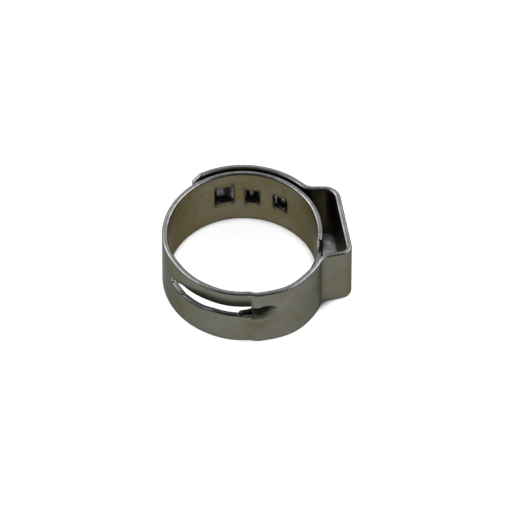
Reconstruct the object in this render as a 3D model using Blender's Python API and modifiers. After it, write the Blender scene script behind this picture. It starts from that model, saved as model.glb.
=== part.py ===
"""Stepless hose clamp with one ear, bent from a single strip of stainless steel.

The ring's axis is +Z and passes through the origin, and the strip's lower rim lies at z = 0.
Angles are in degrees, counter-clockwise from +X seen from above, and the ear points to about +X.
From its outer free end at the back, the strip runs clockwise over the inner layer, round the ear,
over the tongue, down a step to the inner radius, round the slotted front, the left side and the
back, under the ear, and ends in the narrow tongue, which enters a tunnel and the slot.
Each working stretch of the strip is one solid, and each bend that works is a hinge along Z.
"""

import bpy
import bmesh
from math import atan2, ceil, cos, degrees, radians, sin, tan
from mathutils import Matrix, Vector

MM = 0.001

# Strip and ring
STRIP_WIDTH = 7.0 * MM
STRIP_THICKNESS = 0.6 * MM
HALF_STRIP = STRIP_THICKNESS / 2
INNER_LAYER = 7.9 * MM                          # radius of the inner layer's middle surface
LAYER_CLEARANCE = 0.19 * MM
STEP_HEIGHT = STRIP_THICKNESS + LAYER_CLEARANCE
OUTER_LAYER = INNER_LAYER + STEP_HEIGHT         # radius of the outer layer's middle surface
ARC_SPACING = 4.0                               # degrees between the points of an arc
HINGE_GAP = 0.06 * MM                           # clear space on each side of a hinge axis
EDGE_ROUNDING = 0.06 * MM

# Hinges of the ring, in degrees
LEFT_BACK_HINGE = 132.0
LEFT_FRONT_HINGE = 170.0
SLOT_TAIL_HINGE = 201.0
SLOT_MOUTH_HINGE = 241.0
STEP_HINGE = 283.0
FRONT_HINGE = 304.0
INNER_RIGHT_HINGE = 44.0
INNER_SHOULDER_HINGE = 18.0
TONGUE_ROOT_HINGE = -6.2
TONGUE_MIDDLE_HINGE = -33.0
TONGUE_TIP_HINGE = -60.0
TONGUE_END = -92.0
OUTER_FREE_END = 125.6
OUTER_LIFT_HINGE = 52.0

# Ear
REAR_FOOT = 42.5                                # degrees, on the outer layer
FRONT_FOOT = -19.9
REAR_LEG_DIRECTION = 0.0
FRONT_LEG_DIRECTION = 13.0
BRIDGE_NORMAL = 9.7
BRIDGE_DISTANCE = 10.24 * MM                    # from the ring's axis to the bridge's middle plane
FRONT_FOOT_CLOSED = 53.0                        # smallest angle between the strip's two sides
FRONT_SHOULDER_CLOSED = 59.0                    # at each bend when the ear is pinched shut
REAR_SHOULDER_CLOSED = 61.0
REAR_FOOT_CLOSED = 75.0
BRIDGE_MIDDLE_CLOSED = 147.0
KNUCKLE_STEPS = 5

# Step, tunnel and slot
STEP_START = 275.0
STEP_END = 300.0
SLOT_TAIL = 208.0
TUNNEL_START = 274.0
TUNNEL_END = 298.0
SLOT_LOW = 3.65 * MM
SLOT_HIGH = 5.25 * MM
TUNNEL_WALL = 0.3 * MM
TUNNEL_ROOF = OUTER_LAYER - HALF_STRIP - 0.02 * MM
TUNNEL_TOP = OUTER_LAYER + HALF_STRIP - 0.02 * MM
TONGUE_LOW = 3.80 * MM
TONGUE_HIGH = 5.05 * MM

# Hooks: low and high angle of the pocket, low and high z of the pocket
GUIDE_POCKET = (97.0, 111.6, 2.57 * MM, 5.22 * MM)
MIDDLE_POCKET = (76.0, 88.0, 2.20 * MM, 4.44 * MM)
EAR_SIDE_POCKET = (53.4, 66.0, 2.30 * MM, 4.47 * MM)
HOOK_SIDE_GAP = 0.12 * MM                       # between a hook and the sides of its pocket
HOOK_REACH = 0.62                               # share of the pocket's length under the hook
HOOK_TOP = OUTER_LAYER + HALF_STRIP + 0.12 * MM
WINDOW_SIDE_GAP = 0.15 * MM
WINDOW_LOAD_GAP = 0.42 * MM                     # where the lifted end moves past the hook
CHAMFER_LENGTH = 0.85 * MM
CHAMFER_HEIGHT = 0.65 * MM
CHAMFER_DEPTH = 1.5 * MM                        # how far the corner cutters reach along the radius

CUT_MARGIN = 0.5 * MM                           # how far a cutter runs past the faces it cuts
STEEL_COLOUR = (0.34, 0.33, 0.29, 1.0)
EDGE_COLOUR = (0.48, 0.47, 0.46, 1.0)


def clear_scene():
    for old in list(bpy.data.objects):
        bpy.data.objects.remove(old, do_unlink=True)


def new_collection(name):
    collection = bpy.data.collections.new(name)
    bpy.context.scene.collection.children.link(collection)
    return collection


def steel(name, colour, roughness):
    material = bpy.data.materials.new(name)
    material.use_nodes = True
    shader = material.node_tree.nodes["Principled BSDF"]
    shader.inputs["Base Color"].default_value = colour
    shader.inputs["Metallic"].default_value = 1.0
    shader.inputs["Roughness"].default_value = roughness
    return material


# Plan geometry

def polar(radius, angle):
    return Vector((radius * cos(radians(angle)), radius * sin(radians(angle))))


def heading(angle):
    return polar(1.0, angle)


def smooth_step(share):
    share = min(max(share, 0.0), 1.0)
    return share * share * (3.0 - 2.0 * share)


def step_radius(angle):
    """Radius of the stepped band's middle surface at an angle."""
    return INNER_LAYER + STEP_HEIGHT * smooth_step((angle - STEP_START) / (STEP_END - STEP_START))


def arc(radius, start, end):
    """Points from start to end, where radius is a length or a function of the angle."""
    count = max(2, ceil(abs(end - start) / ARC_SPACING))
    angles = [start + (end - start) * i / count for i in range(count + 1)]
    return [polar(radius(a) if callable(radius) else radius, a) for a in angles]


def line_meets_bridge(foot, direction):
    """Point where a leg that leaves its foot in a direction reaches the bridge's middle plane."""
    normal = heading(BRIDGE_NORMAL)
    travel = (BRIDGE_DISTANCE - foot.dot(normal)) / heading(direction).dot(normal)
    return foot + travel * heading(direction)


REAR_FOOT_POINT = polar(OUTER_LAYER, REAR_FOOT)
FRONT_FOOT_POINT = polar(OUTER_LAYER, FRONT_FOOT)
REAR_SHOULDER = line_meets_bridge(REAR_FOOT_POINT, REAR_LEG_DIRECTION)
FRONT_SHOULDER = line_meets_bridge(FRONT_FOOT_POINT, FRONT_LEG_DIRECTION)
BRIDGE_MIDDLE = (REAR_SHOULDER + FRONT_SHOULDER) / 2


def setback(closed_angle):
    """Length to take off the closing side of a strip's end, so a bend can close to an angle."""
    return HALF_STRIP / tan(radians(closed_angle / 2)) + HINGE_GAP


# Solids

def outline_mesh(points, height):
    """Closed outline in the XY plane, extruded evenly to both sides of it."""
    curve = bpy.data.curves.new("outline", "CURVE")
    curve.dimensions = "2D"
    curve.fill_mode = "BOTH"
    curve.extrude = height / 2
    spline = curve.splines.new("POLY")
    spline.points.add(len(points) - 1)
    for point, place in zip(spline.points, points):
        point.co = (place.x, place.y, 0.0, 1.0)
    spline.use_cyclic_u = True
    holder = bpy.data.objects.new("outline", curve)
    bpy.context.scene.collection.objects.link(holder)
    bpy.context.view_layer.update()
    evaluated = holder.evaluated_get(bpy.context.evaluated_depsgraph_get())
    mesh = bpy.data.meshes.new_from_object(evaluated)
    bpy.data.objects.remove(holder, do_unlink=True)
    bpy.data.curves.remove(curve)
    cleaner = bmesh.new()
    cleaner.from_mesh(mesh)
    bmesh.ops.remove_doubles(cleaner, verts=cleaner.verts, dist=0.001 * MM)
    bmesh.ops.recalc_face_normals(cleaner, faces=cleaner.faces)
    cleaner.to_mesh(mesh)
    cleaner.free()
    return mesh


def solid(name, points, low, high, collection, pivot=Vector((0.0, 0.0))):
    """Extruded outline between two heights, with its origin on the pivot's axis."""
    mesh = outline_mesh(points, high - low)
    mesh.transform(Matrix.Translation((-pivot.x, -pivot.y, 0.0)))
    thing = bpy.data.objects.new(name, mesh)
    thing.location = (pivot.x, pivot.y, (low + high) / 2)
    collection.objects.link(thing)
    return thing


def sector_outline(inner, outer, start, end):
    return arc(outer, start, end) + arc(inner, end, start)


def finish(thing, colour=STEEL_COLOUR, rounded=True):
    """Own material, smooth shading and small edge rounding."""
    thing.data.materials.clear()
    thing.data.materials.append(steel(thing.name + "_steel", colour, 0.32))
    thing.data.shade_smooth()
    thing.data.set_sharp_from_angle(angle=radians(30))
    if rounded:
        bevel = thing.modifiers.new("edge_rounding", "BEVEL")
        bevel.width = EDGE_ROUNDING
        bevel.segments = 1
        bevel.limit_method = "ANGLE"
        bevel.angle_limit = radians(50)
    return thing


def cutter(name, points, low, high):
    thing = solid(name, points, low, high, CUTTERS)
    thing.hide_render = True
    thing.display_type = "WIRE"
    return thing


def combine(thing, other, operation):
    boolean = thing.modifiers.new(operation.lower(), "BOOLEAN")
    boolean.operation = operation
    boolean.solver = "EXACT"
    boolean.object = other


def gap_angle(radius):
    return degrees(HINGE_GAP / radius)


def band(name, radius, start, end, pivot_angle, start_back=0.0, end_back=0.0, low=0.0, high=STRIP_WIDTH):
    """Curved stretch of the strip. A back length shortens the outer face at an ear foot."""
    middle = radius(pivot_angle) if callable(radius) else radius
    inner = (lambda a: radius(a) - HALF_STRIP) if callable(radius) else radius - HALF_STRIP
    outer = (lambda a: radius(a) + HALF_STRIP) if callable(radius) else radius + HALF_STRIP
    gap = gap_angle(middle)
    start += gap
    end -= gap
    points = arc(outer, start + degrees(start_back / middle), end - degrees(end_back / middle))
    if end_back:
        points.append(polar(middle, end))
    points += arc(inner, end, start)
    if start_back:
        points.append(polar(middle, start))
    return solid(name, points, low, high, PARTS, polar(middle, pivot_angle))


def flat_strip(name, start, end, start_cut, end_cut, pivot):
    """Straight stretch of the strip between two hinges, along a line from start to end.

    A cut is (side, closed_angle, knuckle): the side that closes (+1 left, -1 right), the smallest
    angle of that bend, and how far the other side's round knuckle sweeps past the hinge.
    """
    along = (end - start).normalized()
    left = Vector((-along.y, along.x))

    def end_points(hinge, inward, cut):
        side, closed_angle, knuckle = cut
        closing = left * side
        back = setback(closed_angle)
        points = [hinge + inward * back + closing * HALF_STRIP, hinge + inward * HINGE_GAP]
        outside = atan2(-closing.y, -closing.x)
        turn = 1.0 if inward.cross(closing) < 0 else -1.0
        corner = hinge + inward * HINGE_GAP
        if knuckle:
            for i in range(KNUCKLE_STEPS + 1):
                angle = outside + turn * radians(knuckle) * (1 - i / KNUCKLE_STEPS)
                points.append(corner + HALF_STRIP * Vector((cos(angle), sin(angle))))
        else:
            points.append(corner - closing * HALF_STRIP)
        return points if side > 0 else points[::-1]

    first = end_points(start, along, start_cut)
    last = end_points(end, -along, end_cut)
    return solid(name, first + last[::-1], 0.0, STRIP_WIDTH, PARTS, pivot)


# The hooked back and the outer end

def hook_outline(pocket):
    """Plan of a pressed hook: a ramp out of the pocket, leaning towards the outer free end."""
    start, end = pocket[0], pocket[1]
    length = radians(end - start) * INNER_LAYER
    reach = HOOK_REACH * length
    inner_face = INNER_LAYER - HALF_STRIP
    outer_face = INNER_LAYER + HALF_STRIP
    profile = [
        (HINGE_GAP, inner_face + HINGE_GAP),
        (reach + 0.10 * MM, outer_face),
        (reach + 0.22 * MM, HOOK_TOP),
        (0.40 * length, HOOK_TOP),
        (HINGE_GAP, outer_face),
    ]
    return [polar(radius, start + degrees(travel / INNER_LAYER)) for travel, radius in profile]


def hook(name, pocket):
    low = pocket[2] + HOOK_SIDE_GAP
    high = pocket[3] - HOOK_SIDE_GAP
    pivot = polar(INNER_LAYER, pocket[0])
    return finish(solid(name, hook_outline(pocket), low, high, PARTS, pivot), EDGE_COLOUR, False)


def pocket_cutter(name, pocket):
    inner = INNER_LAYER - HALF_STRIP - CUT_MARGIN
    outer = INNER_LAYER + HALF_STRIP + CUT_MARGIN
    return cutter(name, sector_outline(inner, outer, pocket[0], pocket[1]), pocket[2], pocket[3])


def window_cutter(name, pocket):
    length = radians(pocket[1] - pocket[0]) * INNER_LAYER
    reach = HOOK_REACH * length + 0.22 * MM + WINDOW_LOAD_GAP
    start = pocket[0] - degrees(WINDOW_SIDE_GAP / OUTER_LAYER)
    end = pocket[0] + degrees(reach / INNER_LAYER)
    inner = OUTER_LAYER - HALF_STRIP - CUT_MARGIN
    outer = OUTER_LAYER + HALF_STRIP + CUT_MARGIN
    low = pocket[2] + HOOK_SIDE_GAP - WINDOW_SIDE_GAP
    high = pocket[3] - HOOK_SIDE_GAP + WINDOW_SIDE_GAP
    return cutter(name, sector_outline(inner, outer, start, end), low, high)


def hooked_back():
    back = band("inner_back_band", INNER_LAYER, INNER_RIGHT_HINGE, LEFT_BACK_HINGE, 90.0)
    for name, pocket in HOOKS:
        hook(name, pocket)
        combine(back, pocket_cutter(name + "_pocket", pocket), "DIFFERENCE")
    finish(back, STEEL_COLOUR, False)


def corner_chamfer(name, rim):
    """Cutter that takes the corner off the outer free end at a rim."""
    inward = 1.0 if rim == 0.0 else -1.0
    edge_start = Vector((-CHAMFER_LENGTH, 0.0))
    edge_end = Vector((0.0, CHAMFER_HEIGHT * inward))
    run = edge_end - edge_start
    corner = [
        edge_start - run,
        edge_end + run,
        Vector((CHAMFER_LENGTH, -CHAMFER_HEIGHT * inward)),
    ]
    thing = solid(name, corner, -CHAMFER_DEPTH, CHAMFER_DEPTH, CUTTERS)
    place = polar(OUTER_LAYER, OUTER_FREE_END)
    outward = heading(OUTER_FREE_END)
    tangent = Vector((-outward.y, outward.x))
    axes = Matrix((
        (tangent.x, 0.0, outward.x, place.x),
        (tangent.y, 0.0, outward.y, place.y),
        (0.0, 1.0, 0.0, rim),
        (0.0, 0.0, 0.0, 1.0),
    ))
    thing.matrix_world = axes
    thing.hide_render = True
    thing.display_type = "WIRE"
    return thing


def outer_end():
    foot_back = setback(REAR_FOOT_CLOSED)
    foot = band("ear_rear_foot", OUTER_LAYER, REAR_FOOT, OUTER_LIFT_HINGE, REAR_FOOT, start_back=foot_back)
    finish(foot)
    lock = band("outer_lock_end", OUTER_LAYER, OUTER_LIFT_HINGE, OUTER_FREE_END, OUTER_LIFT_HINGE)
    for name, pocket in HOOKS:
        combine(lock, window_cutter(name + "_window", pocket), "DIFFERENCE")
    for name, rim in (("lower_corner", 0.0), ("upper_corner", STRIP_WIDTH)):
        combine(lock, corner_chamfer(name, rim), "DIFFERENCE")
    finish(lock, STEEL_COLOUR, False)


# The ear

def ear():
    shoulder_sweep = 80.0
    rear_leg = flat_strip(
        "ear_rear_leg", REAR_FOOT_POINT, REAR_SHOULDER,
        (1, REAR_FOOT_CLOSED, 40.0), (-1, REAR_SHOULDER_CLOSED, 0.0), REAR_SHOULDER)
    rear_bridge = flat_strip(
        "ear_rear_bridge", REAR_SHOULDER, BRIDGE_MIDDLE,
        (-1, REAR_SHOULDER_CLOSED, shoulder_sweep), (-1, BRIDGE_MIDDLE_CLOSED, 0.0), BRIDGE_MIDDLE)
    front_bridge = flat_strip(
        "ear_front_bridge", BRIDGE_MIDDLE, FRONT_SHOULDER,
        (-1, BRIDGE_MIDDLE_CLOSED, 0.0), (-1, FRONT_SHOULDER_CLOSED, shoulder_sweep), FRONT_SHOULDER)
    front_leg = flat_strip(
        "ear_front_leg", FRONT_SHOULDER, FRONT_FOOT_POINT,
        (-1, FRONT_SHOULDER_CLOSED, 0.0), (1, FRONT_FOOT_CLOSED, 50.0), FRONT_FOOT_POINT)
    for piece in (rear_leg, rear_bridge, front_bridge, front_leg):
        finish(piece)


# The front with its step, tunnel and slot

def slot_cutter(name):
    inner = INNER_LAYER - HALF_STRIP - CUT_MARGIN
    outline = sector_outline(inner, TUNNEL_TOP + CUT_MARGIN, SLOT_TAIL, TUNNEL_START)
    return cutter(name, outline, SLOT_LOW, SLOT_HIGH)


def channel_cutter(name):
    inner = INNER_LAYER - HALF_STRIP - CUT_MARGIN
    outline = sector_outline(inner, TUNNEL_ROOF, TUNNEL_START - 2.0, TUNNEL_END)
    return cutter(name, outline, SLOT_LOW, SLOT_HIGH)


def tunnel_arch(name, start, end):
    outline = sector_outline(step_radius, TUNNEL_TOP, start, end)
    return cutter(name, outline, SLOT_LOW - TUNNEL_WALL, SLOT_HIGH + TUNNEL_WALL)


def slotted_front():
    tail = band("slot_tail_band", INNER_LAYER, SLOT_TAIL_HINGE, SLOT_MOUTH_HINGE, SLOT_TAIL_HINGE)
    combine(tail, slot_cutter("slot_in_tail"), "DIFFERENCE")
    finish(tail, STEEL_COLOUR, False)

    hinge_gap = gap_angle(step_radius(STEP_HINGE))
    mouth = band("slot_mouth_band", step_radius, SLOT_MOUTH_HINGE, STEP_HINGE, SLOT_MOUTH_HINGE)
    combine(mouth, tunnel_arch("arch_at_mouth", TUNNEL_START, STEP_HINGE - hinge_gap), "UNION")
    combine(mouth, slot_cutter("slot_in_mouth"), "DIFFERENCE")
    combine(mouth, channel_cutter("channel_in_mouth"), "DIFFERENCE")
    finish(mouth, STEEL_COLOUR, False)

    step = band("step_band", step_radius, STEP_HINGE, FRONT_HINGE, STEP_HINGE)
    combine(step, tunnel_arch("arch_at_step", STEP_HINGE + hinge_gap, TUNNEL_END + 0.4), "UNION")
    combine(step, channel_cutter("channel_in_step"), "DIFFERENCE")
    finish(step, STEEL_COLOUR, False)

    front = band("front_overlap_band", OUTER_LAYER, FRONT_HINGE, FRONT_FOOT + 360.0, FRONT_HINGE,
                 end_back=setback(FRONT_FOOT_CLOSED))
    finish(front)


def left_side():
    finish(band("left_back_band", INNER_LAYER, LEFT_BACK_HINGE, LEFT_FRONT_HINGE, LEFT_BACK_HINGE))
    finish(band("left_front_band", INNER_LAYER, LEFT_FRONT_HINGE, SLOT_TAIL_HINGE, LEFT_FRONT_HINGE))


# The inner end under the ear, and its tongue

def inner_end():
    finish(band("inner_right_band", INNER_LAYER, INNER_SHOULDER_HINGE, INNER_RIGHT_HINGE, INNER_RIGHT_HINGE))
    finish(band("inner_shoulder_band", INNER_LAYER, TONGUE_ROOT_HINGE, INNER_SHOULDER_HINGE,
                INNER_SHOULDER_HINGE))
    for name, start, end in (
        ("tongue_root", TONGUE_MIDDLE_HINGE, TONGUE_ROOT_HINGE),
        ("tongue_middle", TONGUE_TIP_HINGE, TONGUE_MIDDLE_HINGE),
        ("tongue_tip", TONGUE_END, TONGUE_TIP_HINGE),
    ):
        finish(band(name, INNER_LAYER, start, end, end, low=TONGUE_LOW, high=TONGUE_HIGH))


HOOKS = (
    ("guide_hook", GUIDE_POCKET),
    ("middle_hook", MIDDLE_POCKET),
    ("ear_side_hook", EAR_SIDE_POCKET),
)

clear_scene()
PARTS = new_collection("hose_clamp")
CUTTERS = new_collection("cutters")
hooked_back()
outer_end()
ear()
slotted_front()
left_side()
inner_end()
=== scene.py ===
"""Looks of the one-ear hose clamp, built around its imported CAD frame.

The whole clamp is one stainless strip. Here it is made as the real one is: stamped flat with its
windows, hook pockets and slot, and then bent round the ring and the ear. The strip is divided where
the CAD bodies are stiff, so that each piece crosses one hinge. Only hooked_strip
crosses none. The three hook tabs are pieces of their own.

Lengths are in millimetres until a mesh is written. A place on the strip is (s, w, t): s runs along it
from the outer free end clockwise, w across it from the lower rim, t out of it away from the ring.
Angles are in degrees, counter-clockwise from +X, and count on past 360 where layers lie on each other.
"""
from math import atan2, ceil, cos, degrees, radians, sin, sqrt, tan

import bmesh
import bpy
import numpy as np
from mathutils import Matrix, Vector

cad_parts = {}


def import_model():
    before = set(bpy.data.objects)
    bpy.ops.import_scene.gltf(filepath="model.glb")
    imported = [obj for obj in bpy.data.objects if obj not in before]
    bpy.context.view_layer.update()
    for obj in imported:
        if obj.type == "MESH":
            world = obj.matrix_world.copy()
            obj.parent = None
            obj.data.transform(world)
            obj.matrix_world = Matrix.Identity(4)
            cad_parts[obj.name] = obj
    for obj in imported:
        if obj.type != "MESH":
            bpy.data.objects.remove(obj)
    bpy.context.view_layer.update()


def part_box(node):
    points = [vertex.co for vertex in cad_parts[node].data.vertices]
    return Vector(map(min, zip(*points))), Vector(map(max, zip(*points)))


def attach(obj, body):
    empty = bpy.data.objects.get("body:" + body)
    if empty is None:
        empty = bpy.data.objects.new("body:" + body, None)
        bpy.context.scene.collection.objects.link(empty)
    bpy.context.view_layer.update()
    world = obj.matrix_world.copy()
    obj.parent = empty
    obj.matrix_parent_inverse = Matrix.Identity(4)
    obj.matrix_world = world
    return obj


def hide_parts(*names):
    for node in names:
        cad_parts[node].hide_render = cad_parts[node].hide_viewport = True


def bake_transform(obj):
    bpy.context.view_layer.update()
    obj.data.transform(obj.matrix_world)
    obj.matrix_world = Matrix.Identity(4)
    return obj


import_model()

MM = 0.001
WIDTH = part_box("inner_back_band")[1].z / MM     # of the strip
HALF = 0.3                                      # half its thickness
EDGE = 0.17                                     # rounding of the stamped edges
FLAT_RADIUS = 7.9                               # of a plain ring as long as the flat strip's ring
DEGREE = radians(FLAT_RADIUS)                   # length of one degree of the ring on the flat strip
CUT_SPACING = 0.16                              # length of the mesh's facets along the strip
SLOPE_STEP = 0.002                              # step to either side when the bend's slopes are taken

# Ring, in degrees
FREE_END = 125.6 + 360
SLOT_RIGHT = 276.5
SLOT_LEFT = 208.0
SHOULDER_END = -6.2
TONGUE_END = -93.0
POCKETS = {                                     # start and end, heights of the low and high edge
    "guide_hook": (97.2, 111.4, 2.90, 5.08),
    "middle_hook": (77.4, 88.0, 2.68, 4.40),
    "ear_side_hook": (54.6, 66.0, 2.80, 4.42),
}
OUTER_RADIUS = 8.69                             # middle surface of the outer layer at the back

# Ear
REAR_LEG_Y = 5.87
FRONT_LEG_DIRECTION = 13.2
FRONT_LEG_POINT = (8.21, -2.90)
BRIDGE_NORMAL = 9.7
BRIDGE_DISTANCE = 10.24
REAR_FOOT_BEND = 1.6                            # bend radii of the middle surface
REAR_SHOULDER_BEND = 1.35
FRONT_SHOULDER_BEND = 0.85
FRONT_FOOT_BEND = 1.5


def smooth(x, start, end):
    """0 before start, 1 after end, and a smooth rise between."""
    share = np.clip((np.asarray(x, float) - start) / (end - start), 0.0, 1.0)
    return share * share * (3.0 - 2.0 * share)


def bump(x, start, top_start, top_end, end):
    return smooth(x, start, top_start) * (1.0 - smooth(x, top_end, end))


def heading(angle):
    return np.array([cos(radians(angle)), sin(radians(angle))])


# The strip's path in plan

def ring_radius(angle):
    """Radius of the middle surface where the strip follows the ring, below the front foot."""
    side = 7.83 + 0.07 * smooth(angle, 240, 262)
    step = 0.27 * smooth(angle, 274.3, 281.2)
    rise = 0.375 * smooth(angle, 281, 309)
    fall = -0.20 * smooth(angle, 310, 348)
    back = 0.07 * (1.0 - smooth(angle, 90, 150))
    right = -0.16 * (1.0 - smooth(angle, -12, 38)) - 0.12 * (1.0 - smooth(angle, -32, -8))
    nose = 0.27 * (1.0 - smooth(angle, -90, -78))
    return side + step + rise + fall + back + right + nose


class Line:
    """Straight stretch of the strip."""

    def __init__(self, start, end):
        self.start = np.array(start, float)
        self.length = float(np.linalg.norm(np.array(end) - self.start))
        self.along = (np.array(end) - self.start) / self.length

    def at(self, travel):
        """Points and outward normals. Outward is left of the clockwise path."""
        points = self.start + np.outer(travel, self.along)
        normals = np.tile([-self.along[1], self.along[0]], (len(travel), 1))
        return points, normals


class Bend:
    """Arc of a bend. Its turn is in degrees, positive to the left."""

    def __init__(self, start, direction, radius, turn):
        self.sign = 1.0 if turn > 0 else -1.0
        left = np.array([-direction[1], direction[0]])
        self.centre = np.array(start) + left * self.sign * radius
        self.radius = radius
        self.length = radius * abs(radians(turn))
        self.first = atan2(-left[1] * self.sign, -left[0] * self.sign)

    def at(self, travel):
        angle = self.first + self.sign * travel / self.radius
        out = np.stack([np.cos(angle), np.sin(angle)], axis=1)
        return self.centre + self.radius * out, -self.sign * out


class RingArc:
    """Stretch of the ring, down from one angle to another, with a radius for each angle."""

    def __init__(self, start, end, radius):
        self.start_angle = start
        self.radius = radius
        self.length = (start - end) * DEGREE

    def at(self, travel):
        angle = self.start_angle - travel / DEGREE
        out = np.stack([np.cos(np.radians(angle)), np.sin(np.radians(angle))], axis=1)
        return out * self.radius(angle)[:, None], out


def crossing(point_a, direction_a, point_b, direction_b):
    """Where two lines meet."""
    matrix = np.array([direction_a, -direction_b]).T
    share = np.linalg.solve(matrix, point_b - point_a)
    return point_a + share[0] * direction_a


def turn_between(first, second):
    """Signed angle in degrees from one direction to another."""
    return degrees(atan2(first[0] * second[1] - first[1] * second[0], first @ second))


def foot_centre(point, along, outward, bend, ring):
    """Centre of the bend that joins a leg's line to a ring, on the line's outward side."""
    base = point + bend * outward
    middle = -(base @ along)
    half = sqrt((ring + bend) ** 2 - (base @ base - middle * middle))
    return base + (middle + half) * along


def outer_radius(angle):
    return np.full(len(angle), OUTER_RADIUS)


def strip_path():
    """The strip's segments by name, from the outer free end to the tip of the tongue."""
    rear_along = np.array([1.0, 0.0])
    rear_outward = np.array([0.0, 1.0])
    rear_point = np.array([0.0, REAR_LEG_Y])
    front_along = heading(FRONT_LEG_DIRECTION)
    front_outward = heading(FRONT_LEG_DIRECTION - 90.0)
    front_point = np.array(FRONT_LEG_POINT)
    bridge_along = heading(BRIDGE_NORMAL - 90.0)
    bridge_point = heading(BRIDGE_NORMAL) * BRIDGE_DISTANCE

    rear_centre = foot_centre(rear_point, rear_along, rear_outward, REAR_FOOT_BEND, OUTER_RADIUS)
    rear_angle = degrees(atan2(rear_centre[1], rear_centre[0]))
    front_angle = 340.0
    for _ in range(4):
        ring = float(ring_radius(front_angle))
        front_centre = foot_centre(front_point, front_along, front_outward, FRONT_FOOT_BEND, ring)
        front_angle = degrees(atan2(front_centre[1], front_centre[0])) + 360.0

    rear_corner = crossing(rear_point, rear_along, bridge_point, bridge_along)
    front_corner = crossing(front_point, front_along, bridge_point, bridge_along)
    rear_start = heading(rear_angle - 90.0)
    front_end = heading(front_angle - 90.0)
    rear_turn = turn_between(rear_along, bridge_along)
    front_turn = turn_between(bridge_along, -front_along)
    rear_back = REAR_SHOULDER_BEND * tan(radians(abs(rear_turn) / 2))
    front_back = FRONT_SHOULDER_BEND * tan(radians(abs(front_turn) / 2))
    rear_leg_start = rear_centre - REAR_FOOT_BEND * rear_outward
    rear_leg_end = rear_corner - rear_back * rear_along
    bridge_start = rear_corner + rear_back * bridge_along
    bridge_end = front_corner - front_back * bridge_along
    front_leg_start = front_corner - front_back * front_along
    front_leg_end = front_centre - FRONT_FOOT_BEND * front_outward
    return {
        "outer_layer": RingArc(FREE_END, rear_angle + 360.0, outer_radius),
        "rear_foot": Bend(heading(rear_angle) * OUTER_RADIUS, rear_start, REAR_FOOT_BEND,
                          turn_between(rear_start, rear_along)),
        "rear_leg": Line(rear_leg_start, rear_leg_end),
        "rear_shoulder": Bend(rear_leg_end, rear_along, REAR_SHOULDER_BEND, rear_turn),
        "bridge": Line(bridge_start, bridge_end),
        "front_shoulder": Bend(bridge_end, bridge_along, FRONT_SHOULDER_BEND, front_turn),
        "front_leg": Line(front_leg_start, front_leg_end),
        "front_foot": Bend(front_leg_end, -front_along, FRONT_FOOT_BEND,
                           turn_between(-front_along, front_end)),
        "ring": RingArc(front_angle, TONGUE_END, ring_radius),
    }


SEGMENTS = strip_path()
STARTS = {}
_total = 0.0
for _name, _segment in SEGMENTS.items():
    STARTS[_name] = _total
    _total += _segment.length
STRIP_LENGTH = _total


def s_at(angle):
    """Length along the strip at an angle of the ring."""
    if angle > 380.0:
        return (FREE_END - angle) * DEGREE
    return STARTS["ring"] + (SEGMENTS["ring"].start_angle - angle) * DEGREE


def s_on(name, share):
    """Length along the strip at a share of a named segment."""
    return STARTS[name] + share * SEGMENTS[name].length


def ring_angle(s):
    """Angle of the ring at a length along the strip, from the front foot on."""
    return SEGMENTS["ring"].start_angle - (s - STARTS["ring"]) / DEGREE


def plan_at(s):
    points = np.zeros((len(s), 2))
    normals = np.zeros((len(s), 2))
    names = list(SEGMENTS)
    for i, name in enumerate(names):
        low = -np.inf if i == 0 else STARTS[name]
        high = np.inf if i == len(names) - 1 else STARTS[names[i + 1]]
        chosen = (s >= low) & (s < high)
        if chosen.any():
            points[chosen], normals[chosen] = SEGMENTS[name].at(s[chosen] - STARTS[name])
    return points, normals


# Relief pressed into the strip

SLOT_LOW = 3.65
SLOT_HIGH = 5.25
RAIL_DEPTH = 0.05                               # how far the upper lip of the slot curls inward
RAIL_DROP = 1.15                                # how far the lip comes down for each mm of curl
TUNNEL_HEIGHT = 0.42
LEAN = 0.17                                     # of the upper rim, inward at the front
GROOVE_DEPTH = 0.16                             # of the sharp crease above the tunnel
GROOVE_WIDTH = 0.09
DENT_DEPTH = 0.035                              # of the shallow dent below the tunnel


def rail_depth(angle):
    return RAIL_DEPTH * bump(angle, 209, 262, 275.8, 277.2)


def slot_top(angle):
    """Height of the slot's upper lip, which the curl brings down."""
    return SLOT_HIGH - RAIL_DROP * rail_depth(angle)


def rail_height(angle):
    """Height of the curled stretch above the slot."""
    return 0.3 + 0.9 * smooth(angle, 210, 246)


def rail_curl(angle, w):
    """0 on the wall above the slot, rising to 1 at the upper lip."""
    share = np.clip(1.0 - (w - slot_top(angle)) / rail_height(angle), 0.0, 1.0)
    return np.where(w > SLOT_LOW + 0.6, share ** 2, 0.0)


def slot_low(angle):
    """Height of the slot's lower lip, which rises where the tunnel begins."""
    return SLOT_LOW + 0.22 * smooth(angle, 238, 250) + 0.33 * smooth(angle, 264, 278)


def tunnel_crest(angle):
    return slot_low(angle) + 0.24 * smooth(angle, 276.5, 281) + 0.15 * smooth(angle, 281, 290)


def tunnel_crease(angle):
    return 5.05 + 0.18 * smooth(angle, 279, 286) - 0.35 * smooth(angle, 288, 295)


def tunnel_along(angle):
    return smooth(angle, 264, 278) * (1.0 - smooth(angle, 281, 297))


def groove(angle, w):
    """1 in the sharp crease above the tunnel."""
    along = bump(angle, 276.3, 278.5, 289, 295)
    return along * np.exp(-((w - tunnel_crease(angle) - 0.02) / GROOVE_WIDTH) ** 2)


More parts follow.
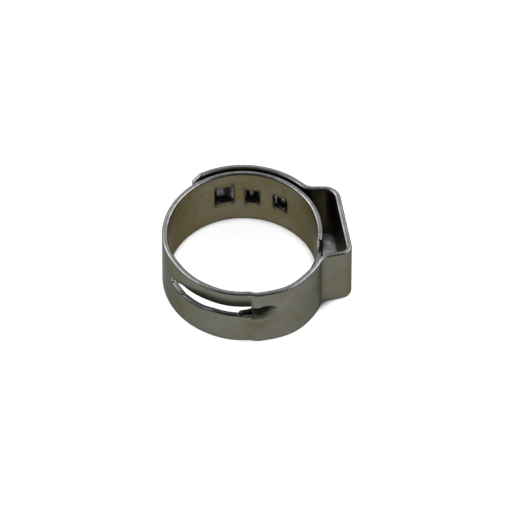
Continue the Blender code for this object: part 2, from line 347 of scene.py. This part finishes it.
def relief(s, w):
    """How far the strip's middle surface stands out of its path."""
    angle = ring_angle(s)
    crest = tunnel_crest(angle)
    crease = tunnel_crease(angle)
    upper = 1.0 - np.clip((w - crest) / (crease - crest), 0.0, 1.0)
    upper = upper * (1.0 + 0.35 * (1.0 - upper)) * smooth(upper, -0.35, 0.6)
    across = np.where(w > crest, upper, smooth(w, 1.0, 4.1))
    lift = TUNNEL_HEIGHT * tunnel_along(angle) * across
    lift -= GROOVE_DEPTH * groove(angle, w)
    lift -= rail_depth(angle) * rail_curl(angle, w)
    lift -= LEAN * smooth(w, 4.6, 7.0) * bump(angle, 190, 215, 315, 335)
    lift -= DENT_DEPTH * bump(angle, 270, 277, 285.9, 286.4) * bump(w, 0.6, 0.9, 2.9, 3.2)
    return lift


def painted_shade(s, w):
    """Painted shade, 0 to 1, laid where the strip is dark: the curled lip above the slot, the slot's lower
    lip and its end, the tunnel's flank and crease, the rims of the hook pockets and the tongue's nose.
    """
    angle = ring_angle(s)
    above = (w - slot_top(angle)) / rail_height(angle)
    rail = bump(angle, 208, 232, 276.2, 276.9) * (1.0 - smooth(above, 0.42, 1.32)) * (above > -0.5)
    lip = bump(w - slot_low(angle), -0.14, -0.03, 0.05, 0.1) * bump(angle, 208, 222, 276.4, 276.6)
    end = bump(angle, 274.9, 275.9, 277.0, 277.8) * bump(w, 4.0, 4.15, 5.1, 5.3)
    flank_low = tunnel_crest(angle) - 0.25
    flank = smooth(w, flank_low - 0.25, flank_low + 0.1) * (1.0 - smooth(w, tunnel_crease(angle), 5.3))
    flank = flank * bump(angle, 275.5, 276.5, 284, 295)
    nose = 1.0 - smooth(angle, -83.0, -80.0)
    amount = np.maximum.reduce([0.94 * rail, 0.75 * lip, 0.9 * end, 0.7 * flank, groove(angle, w), nose])
    for start, stop, low, high in POCKETS.values():
        beside = np.maximum(np.abs(angle - (start + stop) / 2) - (stop - start) / 2, 0.0) * DEGREE
        above = np.maximum(np.abs(w - (low + high) / 2) - (high - low) / 2, 0.0)
        amount = np.maximum(amount, 0.9 * (1.0 - smooth(np.hypot(beside, above), 0.06, 0.22)))
    return amount


def bend_strip(s, w, t):
    """Places on the flat strip, bent into the clamp."""
    points, normals = plan_at(s)
    out = points + normals * (t + relief(s, w))[:, None]
    return np.column_stack([out, w])


# Meshes

def rounded(points, radius, steps=4, closed=True):
    """Outline with its corners rounded. The ends of an open one stay sharp."""
    result = []
    count = len(points)
    for i in range(count):
        corner = np.array(points[i], float)
        if not closed and i in (0, count - 1):
            result.append(corner)
            continue
        before = np.array(points[i - 1], float) - corner
        after = np.array(points[(i + 1) % count], float) - corner
        reach = min(radius, 0.45 * np.linalg.norm(before), 0.45 * np.linalg.norm(after))
        first = corner + reach * before / np.linalg.norm(before)
        last = corner + reach * after / np.linalg.norm(after)
        for k in range(steps + 1):
            share = k / steps
            result.append((1 - share) ** 2 * first + 2 * share * (1 - share) * corner + share ** 2 * last)
    return result


def stamped(outlines, half, edge):
    """Flat sheet with holes and rounded edges, as a bmesh in (s, w, t)."""
    curve = bpy.data.curves.new("stamping", "CURVE")
    curve.dimensions = "2D"
    curve.fill_mode = "BOTH"
    curve.extrude = half - edge
    curve.bevel_depth = edge
    curve.bevel_resolution = 2
    curve.offset = -edge
    for outline in outlines:
        spline = curve.splines.new("POLY")
        spline.points.add(len(outline) - 1)
        for point, place in zip(spline.points, outline):
            point.co = (place[0], place[1], 0.0, 1.0)
        spline.use_cyclic_u = True
    holder = bpy.data.objects.new("stamping", curve)
    bpy.context.scene.collection.objects.link(holder)
    bpy.context.view_layer.update()
    mesh = bpy.data.meshes.new_from_object(holder.evaluated_get(bpy.context.evaluated_depsgraph_get()))
    bpy.data.objects.remove(holder, do_unlink=True)
    bpy.data.curves.remove(curve)
    sheet = bmesh.new()
    sheet.from_mesh(mesh)
    bpy.data.meshes.remove(mesh)
    bmesh.ops.remove_doubles(sheet, verts=sheet.verts, dist=0.0005)
    bmesh.ops.recalc_face_normals(sheet, faces=sheet.faces)
    flat = [e for e in sheet.edges if all(abs(abs(f.normal.z) - 1.0) < 1e-4 for f in e.link_faces)]
    bmesh.ops.dissolve_limit(sheet, angle_limit=0.001, verts=[], edges=flat)
    for edge in sheet.edges:
        edge.seam = all(abs(abs(f.normal.z) - 1.0) < 1e-4 for f in edge.link_faces)
    return sheet


def cut(sheet, place, direction, clear=False):
    """Cuts a sheet with a plane, and takes off what lies on the plane's outer side if asked."""
    geometry = sheet.verts[:] + sheet.edges[:] + sheet.faces[:]
    bmesh.ops.bisect_plane(sheet, geom=geometry, dist=1e-5, plane_co=place, plane_no=direction,
                           clear_outer=clear)
    if clear:
        open_edges = [e for e in sheet.edges if len(e.link_faces) == 1]
        bmesh.ops.holes_fill(sheet, edges=open_edges, sides=0)


def stretch(sheet, start, end, lines):
    """Copy of the sheet from one length to another, cut finely enough to bend."""
    piece = sheet.copy()
    if start is not None:
        cut(piece, (start, 0, 0), (-1, 0, 0), clear=True)
    if end is not None:
        cut(piece, (end, 0, 0), (1, 0, 0), clear=True)
    low = min(v.co.x for v in piece.verts)
    high = max(v.co.x for v in piece.verts)
    count = ceil((high - low) / CUT_SPACING)
    for i in range(1, count):
        cut(piece, (low + (high - low) * i / count, 0, 0), (1, 0, 0))
    for line in lines:
        cut(piece, (0, line, 0), (0, 1, 0))
    bmesh.ops.remove_doubles(piece, verts=piece.verts, dist=0.0005)
    leftover = [e for e in piece.edges if e.seam]
    bmesh.ops.dissolve_edges(piece, edges=leftover, use_verts=True)
    for face in piece.faces:
        ends = [place for place in (start, end) if place is not None]
        face.tag = any(all(abs(v.co.x - place) < 1e-4 for v in face.verts) for place in ends)
    return piece


def flat_normals(sheet, half):
    """Normals of the flat sheet at its vertices, with its cut edges crowned."""
    normals = []
    sheet.normal_update()
    for vert in sheet.verts:
        side = Vector((0.0, 0.0, 0.0))
        for face in vert.link_faces:
            if abs(face.normal.z) < 0.98 and not face.tag:
                side += Vector((face.normal.x, face.normal.y, 0.0)).normalized()
        height = min(abs(vert.co.z) / half, 1.0)
        if side.length < 1e-6 or height > 0.999:
            normals.append((0.0, 0.0, 1.0 if vert.co.z > 0 else -1.0))
            continue
        side = side.normalized() * sqrt(1.0 - height * height)
        normals.append((side.x, side.y, height if vert.co.z > 0 else -height))
    return np.array(normals)


def make_piece(name, sheet, bend, half, materials):
    """Bends a flat sheet into a piece. Its walls and its cut edges have their own materials."""
    flat = np.array([v.co for v in sheet.verts])
    normals = flat_normals(sheet, half)
    sheet.normal_update()
    for face in sheet.faces:
        height = face.normal.z
        face.material_index = 0 if height > 0.6 else (1 if height < -0.6 else 2)
        face.smooth = True
    mesh = bpy.data.meshes.new(name)
    sheet.to_mesh(mesh)
    sheet.free()

    def placed(offset):
        moved = flat + np.array(offset)
        return bend(moved[:, 0], moved[:, 1], moved[:, 2])

    axes = [(SLOPE_STEP, 0, 0), (0, SLOPE_STEP, 0), (0, 0, SLOPE_STEP)]
    along, across, out = [placed(a) - placed([-x for x in a]) for a in axes]
    bent = (np.cross(across, out) * normals[:, :1] + np.cross(out, along) * normals[:, 1:2]
            + np.cross(along, across) * normals[:, 2:])
    bent *= np.sign(np.einsum("ij,ij->i", np.cross(along, across), out))[:, None]
    bent /= np.linalg.norm(bent, axis=1)[:, None]
    inside_out = float(np.mean(np.einsum("ij,ij->i", np.cross(along, across), out))) < 0.0
    mesh.vertices.foreach_set("co", (placed((0, 0, 0)) * MM).astype(np.float32).ravel())
    if inside_out:
        mesh.flip_normals()
    mesh.update()
    mesh.normals_split_custom_set_from_vertices(bent)
    corners = mesh.uv_layers.new(name="strip")
    places = np.zeros(len(mesh.loops), np.int32)
    mesh.loops.foreach_get("vertex_index", places)
    corners.data.foreach_set("uv", flat[places, :2].astype(np.float32).ravel())
    # Painted shade for each vertex, which the materials darken the steel by.
    shade_mask = mesh.attributes.new("painted_shade", "FLOAT", "POINT")
    shade_mask.data.foreach_set("value", painted_shade(flat[:, 0], flat[:, 1]).astype(np.float32))
    for material in materials:
        mesh.materials.append(material)
    piece = bpy.data.objects.new(name, mesh)
    bpy.context.scene.collection.objects.link(piece)
    return piece


# Materials

class Nodes:
    """Short ways to add and link a material's nodes."""

    def __init__(self, name):
        self.material = bpy.data.materials.new(name)
        self.material.use_nodes = True
        self.tree = self.material.node_tree
        self.shader = self.tree.nodes["Principled BSDF"]
        self.shader.inputs["Metallic"].default_value = 1.0
        self.shader.inputs["Specular Tint"].default_value = (0.42, 0.42, 0.40, 1.0)

    def add(self, kind, **inputs):
        node = self.tree.nodes.new(kind)
        for name, value in inputs.items():
            self.feed(node.inputs[name.replace("_", " ")], value)
        return node

    def feed(self, socket, value):
        if isinstance(value, bpy.types.NodeSocket):
            self.tree.links.new(value, socket)
        else:
            socket.default_value = value

    def strip_place(self, scale):
        """Place on the flat strip, in millimetres times a scale along it, across it and out of it."""
        place = self.add("ShaderNodeUVMap")
        place.uv_map = "strip"
        stretch_node = self.add("ShaderNodeMapping", Vector=place.outputs["UV"])
        stretch_node.inputs["Scale"].default_value = scale
        return stretch_node.outputs["Vector"]

    def noise(self, scale, detail=3.0, roughness=0.55, offset=0.0):
        place = self.strip_place(scale)
        node = self.add("ShaderNodeTexNoise", Vector=place, Scale=1.0, Detail=detail, Roughness=roughness)
        node.noise_dimensions = "4D"
        node.inputs["W"].default_value = offset
        return node.outputs["Fac"]

    def range(self, value, low, high, to_low=0.0, to_high=1.0):
        node = self.add("ShaderNodeMapRange", Value=value)
        node.inputs["From Min"].default_value = low
        node.inputs["From Max"].default_value = high
        node.inputs["To Min"].default_value = to_low
        node.inputs["To Max"].default_value = to_high
        return node.outputs["Result"]

    def mix(self, factor, first, second):
        node = self.tree.nodes.new("ShaderNodeMix")
        node.data_type = "RGBA"
        self.feed(node.inputs["Factor"], factor)
        self.feed(node.inputs["A"], colour4(first))
        self.feed(node.inputs["B"], colour4(second))
        return node.outputs["Result"]

    def math(self, operation, first, second):
        node = self.tree.nodes.new("ShaderNodeMath")
        node.operation = operation
        self.feed(node.inputs[0], first)
        self.feed(node.inputs[1], second)
        return node.outputs[0]

    def bump(self, height, distance, strength=1.0):
        node = self.add("ShaderNodeBump", Height=height)
        node.inputs["Distance"].default_value = distance
        node.inputs["Strength"].default_value = strength
        self.feed(self.shader.inputs["Normal"], node.outputs["Normal"])

    def darkened_by_shade(self, colour, shade_colour, share=0.85):
        """Colour darkened by the painted shade that the mesh holds as a vertex attribute."""
        shade_mask = self.tree.nodes.new("ShaderNodeAttribute")
        shade_mask.attribute_name = "painted_shade"
        amount = self.math("MULTIPLY", shade_mask.outputs["Fac"], share)
        return self.mix(amount, colour, shade_colour)


def colour4(value):
    return value if isinstance(value, bpy.types.NodeSocket) else (*value, 1.0)


def rolled_steel(name, grey, olive, brown, roughness):
    """Wall of the strip: rolled along its length, oily and a little tarnished. Its near-black marks are
    painted shade.
    """
    make = Nodes(name)
    patches = make.range(make.noise((0.28, 0.42, 1.0), offset=1.0), 0.36, 0.64)
    stains = make.range(make.noise((0.9, 1.3, 1.0), 4.0, offset=2.0), 0.50, 0.72, 0.0, 0.7)
    streaks = make.noise((0.5, 14.0, 1.0), 4.0, 0.6, offset=3.0)
    fine = make.noise((2.2, 60.0, 1.0), 3.0, 0.6, offset=4.0)
    colour = make.mix(patches, olive, grey)
    colour = make.mix(stains, colour, brown)
    shade = make.range(streaks, 0.3, 0.7, 0.86, 1.10)
    tone = make.add("ShaderNodeVectorMath")
    tone.operation = "SCALE"
    make.feed(tone.inputs[0], colour)
    make.feed(tone.inputs["Scale"], shade)
    # Near-black painted shade in the creases, at the slot's lips and round the pockets.
    shaded_colour = make.darkened_by_shade(tone.outputs[0], (0.008, 0.008, 0.007), 0.97)
    make.feed(make.shader.inputs["Base Color"], shaded_colour)
    rough = make.range(streaks, 0.3, 0.7, roughness - 0.06, roughness + 0.08)
    rough = make.math("ADD", rough, make.range(patches, 0.0, 1.0, 0.04, -0.03))
    make.feed(make.shader.inputs["Roughness"], rough)
    height = make.math("ADD", fine, make.noise((7.0, 9.0, 1.0), 5.0, 0.65, offset=5.0))
    make.bump(height, 0.000012, 0.55)
    return make.material


def sheared_steel(name, light, dark, roughness):
    """Cut edges: brighter where the punch has burnished them, with fine marks across them."""
    make = Nodes(name)
    marks = make.noise((18.0, 18.0, 1.0), 4.0, 0.6, offset=6.0)
    patches = make.noise((1.1, 1.1, 1.0), 3.0, offset=7.0)
    colour = make.mix(make.range(patches, 0.35, 0.65), dark, light)
    # Dark painted shade on the cut edges at the slot's lips and round the pockets.
    make.feed(make.shader.inputs["Base Color"], make.darkened_by_shade(colour, (0.028, 0.034, 0.036), 0.95))
    rough = make.range(marks, 0.3, 0.7, roughness - 0.06, roughness + 0.10)
    make.feed(make.shader.inputs["Roughness"], rough)
    make.bump(marks, 0.00001, 0.5)
    return make.material


OUTER_STEEL = rolled_steel("outer_steel", (0.150, 0.150, 0.135), (0.140, 0.137, 0.097),
                           (0.128, 0.110, 0.078), 0.36)
# Warmer, darker copy of the wall steel for the inner face: painted light bounced about inside the ring.
INTERREFLECTED_INNER_STEEL = rolled_steel("interreflected_inner_steel", (0.150, 0.137, 0.095), (0.135, 0.115, 0.060),
                           (0.115, 0.088, 0.040), 0.34)
CUT_STEEL = sheared_steel("cut_steel", (0.42, 0.42, 0.43), (0.28, 0.28, 0.29), 0.27)
# Darker copy of the cut steel for the hook tabs: painted shade, as they sit in their pockets.
SHADED_HOOK_STEEL = sheared_steel("shaded_hook_steel", (0.20, 0.20, 0.20), (0.11, 0.11, 0.112), 0.33)
STEELS = [OUTER_STEEL, INTERREFLECTED_INNER_STEEL, CUT_STEEL]


# The strip

TONGUE_LOW = 3.92
TONGUE_HIGH = 5.05
NOSE_LENGTH = 0.62                              # of the rounding at the tongue's tip
NOSE_HEIGHT = 0.33
CHAMFER_LENGTH = 0.85                           # of the corners at the outer free end
CHAMFER_HEIGHT = 0.65
STRIP_CORNER = 0.15
POCKET_CORNER = 0.5
WINDOW_CORNER = 0.25
WINDOW_CLEARANCE = 0.03                         # above and below the pocket under it
SLOT_CORNER = 0.22


def box_outline(start, end, low, high, radius):
    corners = [(start, low), (end, low), (end, high), (start, high)]
    return rounded(corners, radius)


def nose_outline():
    """Rounded tip of the tongue, low where it slides along the slot's lower lip."""
    tip = s_at(TONGUE_END)
    points = []
    for k in range(9):
        turn = radians(90.0 * k / 8)
        points.append((tip - NOSE_LENGTH * (1.0 - cos(turn)), TONGUE_LOW + 0.05 + NOSE_HEIGHT * sin(turn)))
    return points + [(tip - 1.3, TONGUE_LOW + 0.42), (tip - 1.9, TONGUE_HIGH)]


def strip_outline():
    shoulder = s_at(SHOULDER_END)
    before = [(0.0, CHAMFER_HEIGHT), (CHAMFER_LENGTH, 0.0), (shoulder, 0.0), (shoulder, TONGUE_LOW),
              (s_at(TONGUE_END), TONGUE_LOW)]
    after = [(shoulder, TONGUE_HIGH), (shoulder, WIDTH), (CHAMFER_LENGTH, WIDTH),
             (0.0, WIDTH - CHAMFER_HEIGHT)]
    before = rounded(before, STRIP_CORNER, closed=False)
    after = rounded(after, STRIP_CORNER, closed=False)
    return before + nose_outline() + after


def window_outline(pocket):
    start, end, low, high = pocket
    right = s_at(start + 360 - 1.1)
    left = s_at(end + 360) - 0.25
    return box_outline(left, right, low - WINDOW_CLEARANCE, high + WINDOW_CLEARANCE, WINDOW_CORNER)


def pocket_outline(pocket):
    start, end, low, high = pocket
    return box_outline(s_at(end), s_at(start), low, high, POCKET_CORNER)


def slot_outline():
    right = s_at(SLOT_RIGHT)
    left = s_at(SLOT_LEFT)
    taper = SLOT_LEFT + 14.0
    top = [(s_at(angle), slot_top(angle)) for angle in np.arange(taper, SLOT_RIGHT - 2.0, 4.0)]
    end = rounded([(right, slot_top(SLOT_RIGHT - 1.5)), (right, float(slot_low(SLOT_RIGHT))),
                   (s_at(SLOT_RIGHT - 1.5), float(slot_low(SLOT_RIGHT - 1.5)))],
                  SLOT_CORNER, closed=False)
    low = [(s_at(angle), float(slot_low(angle))) for angle in np.arange(272.0, taper, -3.0)]
    tail = [(s_at(taper), SLOT_LOW - 0.05), (left, 4.0), (left, 4.6)]
    tail = rounded(tail, SLOT_CORNER, closed=False)
    return top + end + low + tail


outlines = [strip_outline(), slot_outline()]
for pocket in POCKETS.values():
    outlines.append(window_outline(pocket))
    outlines.append(pocket_outline(pocket))
SHEET = stamped(outlines, HALF, EDGE)

# Heights at which a piece is cut along its length, so that it can bend across its width
COARSE = [1.0, 2.0, 3.0, 4.0, 5.0, 6.0]
FINE = [0.15 * i for i in range(6, 46)] + [4.575, 4.725, 4.875, 5.025, 5.175, 5.325]

#   piece, seam where it starts, hinge, seam where it ends, first body, second body, lines, nodes
PIECES = [
    ("lock_end_strip", None, s_at(412.0), s_at(409.2), "lock_end", "rear_foot", COARSE,
     ["outer_lock_end", "ear_rear_foot"]),
    ("rear_foot_strip", s_at(409.2), s_on("rear_foot", 0.5), s_on("rear_leg", 0.5), "rear_foot", "rear_leg",
     COARSE, ["ear_rear_leg"]),
    ("rear_shoulder_strip", s_on("rear_leg", 0.5), s_on("rear_shoulder", 0.5), s_on("bridge", 0.2),
     "rear_leg", "rear_bridge", COARSE, ["ear_rear_bridge"]),
    ("bridge_strip", s_on("bridge", 0.2), s_on("bridge", 0.5), s_on("bridge", 0.8), "rear_bridge",
     "front_bridge", COARSE, ["ear_front_bridge"]),
    ("front_shoulder_strip", s_on("bridge", 0.8), s_on("front_shoulder", 0.5), s_on("front_leg", 0.5),
     "front_bridge", "front_leg", COARSE, ["ear_front_leg"]),
    ("front_foot_strip", s_on("front_leg", 0.5), s_on("front_foot", 0.5), s_at(322), "front_leg",
     "front_overlap", COARSE, ["front_overlap_band"]),
    ("front_strip", s_at(322), s_at(304), s_at(293.5), "front_overlap", "step", FINE, ["step_band"]),
    ("tunnel_strip", s_at(293.5), s_at(283), s_at(262), "step", "slot_mouth", FINE, ["slot_mouth_band"]),
    ("slot_strip", s_at(262), s_at(241), s_at(221), "slot_mouth", "slot_tail", FINE, ["slot_tail_band"]),
    ("slot_end_strip", s_at(221), s_at(201), s_at(185.5), "slot_tail", "left_front", FINE,
     ["left_front_band"]),
    ("left_strip", s_at(185.5), s_at(170), s_at(151), "left_front", "left_back", COARSE,
     ["left_back_band"]),
    ("left_back_strip", s_at(151), s_at(132), s_at(120), "left_back", "hooked_back", COARSE, []),
    ("hooked_strip", s_at(120), None, s_at(50), "hooked_back", None, COARSE, ["inner_back_band"]),
    ("inner_right_strip", s_at(50), s_at(44), s_at(31), "hooked_back", "inner_right", COARSE,
     ["inner_right_band"]),
    ("inner_ear_strip", s_at(31), s_at(18), s_at(6), "inner_right", "inner_shoulder", COARSE,
     ["inner_shoulder_band"]),
    ("shoulder_strip", s_at(6), s_at(SHOULDER_END), s_at(-20), "inner_shoulder", "tongue_root", COARSE,
     ["tongue_root"]),
    ("tongue_strip", s_at(-20), s_at(-33), s_at(-46), "tongue_root", "tongue_middle", COARSE,
     ["tongue_middle"]),
    ("tongue_tip_strip", s_at(-46), s_at(-60), None, "tongue_middle", "tongue_tip", COARSE,
     ["tongue_tip"]),
]


BLEND_REACH = 1.4                               # longest stretch on either side of a hinge
SEAM_MARGIN = 0.05                              # taken off that stretch at a seam


def middle_point(s):
    point = plan_at(np.array([s]))[0][0]
    return (point[0] * MM, point[1] * MM, WIDTH / 2 * MM)


def strip_pieces():
    for name, start, hinge, end, first, second, lines, nodes in PIECES:
        sheet = stretch(SHEET, start, end, lines)
        piece = make_piece(name, sheet, bend_strip, HALF, STEELS)
        if nodes:
            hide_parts(*nodes)
        if hinge is None:
            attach(piece, first)
            continue
        before = BLEND_REACH if start is None else hinge - start
        after = BLEND_REACH if end is None else end - hinge
        reach = min(before, after, BLEND_REACH) - SEAM_MARGIN
        middle_point(hinge - reach)
        middle_point(hinge + reach)
        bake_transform(piece)


# Hooks

HOOK_HALF = 0.25                                # half its thickness
HOOK_EDGE = 0.1                                 # rounding of its edges
HOOK_ROOT = 0.1                                 # stretch of it inside the wall that it stands on
HOOK_CLEARANCE = 0.06                           # to the low and the high edge of its pocket
HOOK_RISE = 0.66
HOOK_CROWN = 0.27                               # further rise in the middle of its width
HOOK_DROP = 0.78                                # share of the rise that its turned-down end loses
# Length of each tab, as a share of its pocket's
HOOK_REACHES = {"guide_hook": 1.02, "middle_hook": 1.02, "ear_side_hook": 0.92}
# Steel of each tab's inner face. The darker hook steel is painted shade, and the ear-side tab's brighter
# cut steel is a painted highlight on its dome.
HOOK_INSIDES = {"guide_hook": SHADED_HOOK_STEEL, "middle_hook": SHADED_HOOK_STEEL, "ear_side_hook": CUT_STEEL}


def hook_pieces():
    for name, (start, end, low, high) in POCKETS.items():
        reach = HOOK_REACHES[name] * (end - start) * DEGREE
        bottom = low + HOOK_CLEARANCE
        top = high - HOOK_CLEARANCE
        outline = box_outline(-HOOK_ROOT, reach, bottom, top, 0.3)
        flat = stamped([outline], HOOK_HALF, HOOK_EDGE)
        sheet = stretch(flat, None, None, [low + 0.2 * i for i in range(1, 14) if low + 0.2 * i < high])
        flat.free()

        def bend_hook(s, w, t, start=start, reach=reach, low=low, high=high):
            """Scooped tab, highest in the middle of its width. Its free end turns back down."""
            turn = np.radians(start + s / DEGREE)
            middle = 1.0 - ((w - (low + high) / 2) / ((high - low) / 2)) ** 2
            rise = HOOK_RISE * smooth(s, -0.2, reach * 0.5)
            rise = rise + HOOK_CROWN * middle * smooth(s, 0.0, reach * 0.6)
            rise = rise * (1.0 - HOOK_DROP * smooth(s, reach * 0.76, reach * 0.98))
            radius = ring_radius(start) + rise + t
            return np.column_stack([radius * np.cos(turn), radius * np.sin(turn), w])

        piece = make_piece(name + "_tab", sheet, bend_hook, HOOK_HALF,
                           [OUTER_STEEL, HOOK_INSIDES[name], SHADED_HOOK_STEEL])
        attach(piece, "hooked_back")
        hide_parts(name)


strip_pieces()
hook_pieces()
SHEET.free()


# Stage, in metres

SOFTBOX_SIZE = 0.7
SOFTBOX_POWER = 3.0
CAMERA_ELEVATION = 51.14
CAMERA_DISTANCE = 1.0
CAMERA_TARGET = (0.00123, 0.0, 0.0035)
CAMERA_LENS = 701.0                             # in millimetres, as the sensor's width is
SENSOR_WIDTH = 36.0


def floor():
    """White floor that glows, so that the steel mirrors it. The glow fades close to the clamp: a painted
    contact shadow, darkest inside the ear.
    """
    mesh = bpy.data.meshes.new("floor")
    shape = bmesh.new()
    bmesh.ops.create_grid(shape, x_segments=1, y_segments=1, size=1.5)
    shape.to_mesh(mesh)
    shape.free()
    plane = bpy.data.objects.new("floor", mesh)
    bpy.context.scene.collection.objects.link(plane)
    material = bpy.data.materials.new("pale_floor")
    material.use_nodes = True
    shader = material.node_tree.nodes["Principled BSDF"]
    shader.inputs["Base Color"].default_value = (0.5, 0.5, 0.5, 1.0)
    shader.inputs["Roughness"].default_value = 0.9
    shader.inputs["Emission Color"].default_value = (1.0, 1.0, 1.0, 1.0)
    # Painted contact shadow: the glow dims where the clamp hides much of the sky.
    nearness = material.node_tree.nodes.new("ShaderNodeAmbientOcclusion")
    nearness.inputs["Distance"].default_value = 0.003
    glow = material.node_tree.nodes.new("ShaderNodeMapRange")
    glow.inputs["From Min"].default_value = 0.40
    glow.inputs["From Max"].default_value = 0.51
    glow.inputs["To Min"].default_value = 0.02
    glow.inputs["To Max"].default_value = 0.90
    material.node_tree.links.new(nearness.outputs["AO"], glow.inputs["Value"])
    material.node_tree.links.new(glow.outputs["Result"], shader.inputs["Emission Strength"])
    mesh.materials.append(material)


def softbox(name, place):
    """Square light that faces the middle of the floor."""
    light = bpy.data.lights.new(name, "AREA")
    light.shape = "RECTANGLE"
    light.size = SOFTBOX_SIZE
    light.size_y = SOFTBOX_SIZE
    light.energy = SOFTBOX_POWER
    thing = bpy.data.objects.new(name, light)
    thing.location = place
    thing.rotation_euler = (-Vector(place)).to_track_quat("-Z", "Y").to_euler()
    bpy.context.scene.collection.objects.link(thing)


def world():
    """Studio room: pale low down at the back, dim overhead and behind the camera."""
    sky = bpy.data.worlds.new("studio")
    sky.use_nodes = True
    tree = sky.node_tree
    direction = tree.nodes.new("ShaderNodeTexCoord")
    backward = tree.nodes.new("ShaderNodeVectorMath")
    backward.operation = "DOT_PRODUCT"
    backward.inputs[1].default_value = (0.0, 0.9, -0.43)
    ramp = tree.nodes.new("ShaderNodeMapRange")
    ramp.inputs["From Min"].default_value = -0.35
    ramp.inputs["From Max"].default_value = 0.45
    ramp.inputs["To Min"].default_value = 0.07
    ramp.inputs["To Max"].default_value = 0.75
    tree.links.new(direction.outputs["Generated"], backward.inputs[0])
    tree.links.new(backward.outputs["Value"], ramp.inputs["Value"])
    tree.links.new(ramp.outputs["Result"], tree.nodes["Background"].inputs["Color"])
    bpy.context.scene.world = sky


def camera():
    elevation = radians(CAMERA_ELEVATION)
    backward = Vector((0.0, -cos(elevation), sin(elevation)))
    data = bpy.data.cameras.new("camera")
    data.lens = CAMERA_LENS
    data.sensor_width = SENSOR_WIDTH
    data.clip_end = 10.0
    view = bpy.data.objects.new("camera", data)
    view.location = Vector(CAMERA_TARGET) + CAMERA_DISTANCE * backward
    view.rotation_euler = (radians(90.0) - elevation, 0.0, 0.0)
    bpy.context.scene.collection.objects.link(view)
    bpy.context.scene.camera = view


floor()
softbox("left_softbox", (-0.60, 0.10, 0.50))
softbox("right_softbox", (0.60, 0.05, 0.50))
world()
camera()
bpy.context.scene.view_settings.view_transform = "Standard"
